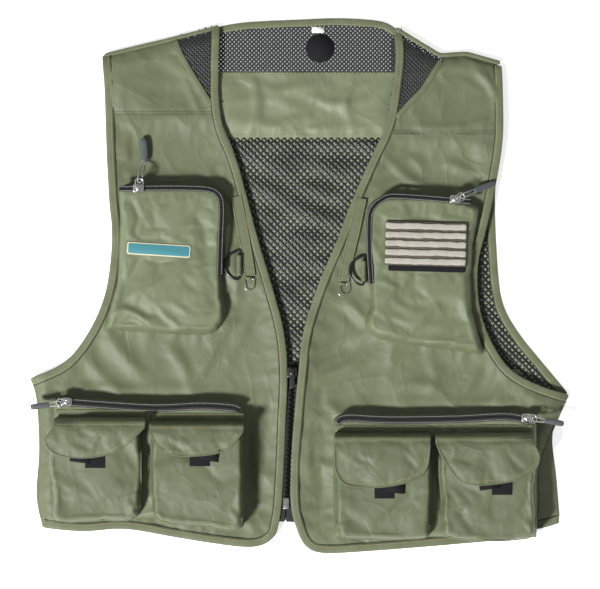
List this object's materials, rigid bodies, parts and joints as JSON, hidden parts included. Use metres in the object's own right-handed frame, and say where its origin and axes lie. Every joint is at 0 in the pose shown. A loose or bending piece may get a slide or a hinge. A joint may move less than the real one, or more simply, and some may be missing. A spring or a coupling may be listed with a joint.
{
  "type": "fishing vest",
  "caption": "Sleeveless zip-front vest laid flat, with zipped chest pockets, flapped bellows pockets at the hem, tool rings and a fly patch.",
  "frame": {"origin": "middle of the flat vest on the surface it lies on", "axes": "+X to the right of someone looking at the front, +Y to the neck, +Z out of the front"},
  "size_m": [0.588, 0.585, 0.0453],
  "materials": {
    "olive_cloth": "matte woven nylon",
    "binding_tape": "folded woven tape, stitched",
    "lining_mesh": "knitted mesh",
    "spacer_mesh": "open knitted mesh",
    "zip_tape": "woven zip tape",
    "black_plastic": "smooth",
    "black_metal": "black enamel",
    "bright_metal": "die-cast and plated",
    "pull_cord": "braided cord",
    "soft_grip": "moulded, satin",
    "label_cloth": "woven satin",
    "hook_and_loop": "fuzzy pile",
    "badge": "moulded, satin",
    "ribbed_foam": "closed-cell foam"
  },
  "bodies": {
    "vest": {"back_shell": "olive_cloth", "back_lining_mesh": "lining_mesh", "back_yoke": "olive_cloth", "neck_mesh": "spacer_mesh", "front_yokes": "olive_cloth", "shoulder_mesh": "spacer_mesh", "front_panel_left": "olive_cloth", "front_panel_right": "olive_cloth", "side_and_shoulder_seams": "binding_tape", "armhole_binding_left": "binding_tape", "armhole_binding_right": "binding_tape", "back_bindings": "binding_tape", "neck_binding": "binding_tape", "front_binding_left": "binding_tape", "front_binding_right": "binding_tape", "size_label": "label_cloth", "neck_patch": "hook_and_loop", "front_zip_tapes": "zip_tape", "front_zip_teeth": "black_plastic", "chest_pocket_left": "olive_cloth", "chest_pocket_right": "olive_cloth", "chest_zip_left": "zip_tape", "chest_zip_right": "zip_tape", "chest_badge": "badge", "fly_patch_base": "hook_and_loop", "tool_strips": "olive_cloth", "lower_pocket_left": "olive_cloth", "lower_pocket_right": "olive_cloth", "lower_zip_left": "zip_tape", "lower_zip_right": "zip_tape", "bellows_pockets_left": "olive_cloth", "bellows_pockets_right": "olive_cloth", "loop_patches": "hook_and_loop"},
    "front_slide": {"front_slider": "black_metal"},
    "front_pull": {"front_tab": "black_metal"},
    "chest_slide_left": {"chest_slider_left": "bright_metal"},
    "chest_pull_left": {"chest_tab_left": "bright_metal", "chest_cord_left": "pull_cord", "chest_grip_left": "soft_grip"},
    "chest_slide_right": {"chest_slider_right": "bright_metal"},
    "chest_pull_right": {"chest_tab_right": "bright_metal", "chest_cord_right": "pull_cord", "chest_grip_right": "soft_grip"},
    "lower_slide_left": {"lower_slider_left": "bright_metal"},
    "lower_pull_left": {"lower_tab_left": "bright_metal", "lower_cord_left": "pull_cord", "lower_grip_left": "soft_grip"},
    "lower_slide_right": {"lower_slider_right": "bright_metal"},
    "lower_pull_right": {"lower_tab_right": "bright_metal", "lower_cord_right": "pull_cord", "lower_grip_right": "soft_grip"},
    "ring_left": {"d_ring_left": "black_plastic"},
    "ring_right": {"d_ring_right": "black_plastic"},
    "wire_left": {"wire_loop_left": "bright_metal"},
    "wire_right": {"wire_loop_right": "bright_metal"},
    "flap_outer_left": {"flap_outer_left": "olive_cloth"},
    "flap_inner_left": {"flap_inner_left": "olive_cloth"},
    "flap_inner_right": {"flap_inner_right": "olive_cloth"},
    "flap_outer_right": {"flap_outer_right": "olive_cloth"},
    "fly_patch": {"fly_patch": "ribbed_foam"}
  },
  "joints": [
    {"name": "front_zip_slide", "type": "slide", "parent": "vest", "child": "front_slide", "axis": [0.0449, 0.999, 0], "range_m": [-0.115, 0]},
    {"name": "front_pull_swing", "type": "hinge", "parent": "front_slide", "child": "front_pull", "pos_m": [-0.0081, -0.095, 0.0149], "axis": [1, 0, 0], "range_deg": [-150, 0]},
    {"name": "chest_zip_slide_left", "type": "slide", "parent": "vest", "child": "chest_slide_left", "axis": [-1, 0, 0], "range_m": [-0.065, 0]},
    {"name": "chest_pull_swing_left", "type": "hinge", "parent": "chest_slide_left", "child": "chest_pull_left", "pos_m": [-0.175, 0.1055, 0.0306], "axis": [-0.9848, 0.1736, 0], "range_deg": [-150, 0]},
    {"name": "chest_zip_slide_right", "type": "slide", "parent": "vest", "child": "chest_slide_right", "axis": [0.9987, -0.05, 0], "range_m": [-0.06, 0]},
    {"name": "chest_pull_swing_right", "type": "hinge", "parent": "chest_slide_right", "child": "chest_pull_right", "pos_m": [0.169, 0.0935, 0.0306], "axis": [-0.4067, 0.9136, 0], "range_deg": [-150, 0]},
    {"name": "lower_zip_slide_left", "type": "slide", "parent": "vest", "child": "lower_slide_left", "axis": [-0.9991, 0.0414, 0], "range_m": [-0.176, 0]},
    {"name": "lower_pull_swing_left", "type": "hinge", "parent": "lower_slide_left", "child": "lower_pull_left", "pos_m": [-0.253, -0.1268, 0.0276], "axis": [0.1392, -0.9903, 0], "range_deg": [-150, 0]},
    {"name": "lower_zip_slide_right", "type": "slide", "parent": "vest", "child": "lower_slide_right", "axis": [0.9998, 0.0217, 0], "range_m": [-0.184, 0]},
    {"name": "lower_pull_swing_right", "type": "hinge", "parent": "lower_slide_right", "child": "lower_pull_right", "pos_m": [0.247, -0.144, 0.0276], "axis": [0.1392, 0.9903, 0], "range_deg": [-150, 0]},
    {"name": "ring_swing_left", "type": "hinge", "parent": "vest", "child": "ring_left", "pos_m": [-0.066, 0.022, 0.0144], "axis": [0, 1, 0], "range_deg": [0, 110]},
    {"name": "ring_swing_right", "type": "hinge", "parent": "vest", "child": "ring_right", "pos_m": [0.07, 0.016, 0.0144], "axis": [0, 1, 0], "range_deg": [0, 90]},
    {"name": "wire_swing_left", "type": "hinge", "parent": "vest", "child": "wire_left", "pos_m": [-0.055, 0.008, 0.012], "axis": [-1, 0, 0], "range_deg": [0, 100]},
    {"name": "wire_swing_right", "type": "hinge", "parent": "vest", "child": "wire_right", "pos_m": [0.047, 0.002, 0.012], "axis": [-1, 0, 0], "range_deg": [0, 100]},
    {"name": "flap_outer_left_lift", "type": "hinge", "parent": "vest", "child": "flap_outer_left", "pos_m": [-0.2165, -0.142, 0.0235], "axis": [-1, 0, 0], "range_deg": [0, 75]},
    {"name": "flap_inner_left_lift", "type": "hinge", "parent": "vest", "child": "flap_inner_left", "pos_m": [-0.111, -0.146, 0.0235], "axis": [-1, 0, 0], "range_deg": [0, 75]},
    {"name": "flap_inner_right_lift", "type": "hinge", "parent": "vest", "child": "flap_inner_right", "pos_m": [0.09, -0.159, 0.0235], "axis": [-1, 0, 0], "range_deg": [0, 75]},
    {"name": "flap_outer_right_lift", "type": "hinge", "parent": "vest", "child": "flap_outer_right", "pos_m": [0.2005, -0.159, 0.0235], "axis": [-1, 0, 0], "range_deg": [0, 75]},
    {"name": "fly_patch_peel", "type": "slide", "parent": "vest", "child": "fly_patch", "axis": [0, 0, 1], "range_m": [0, 0.06]}
  ]
}
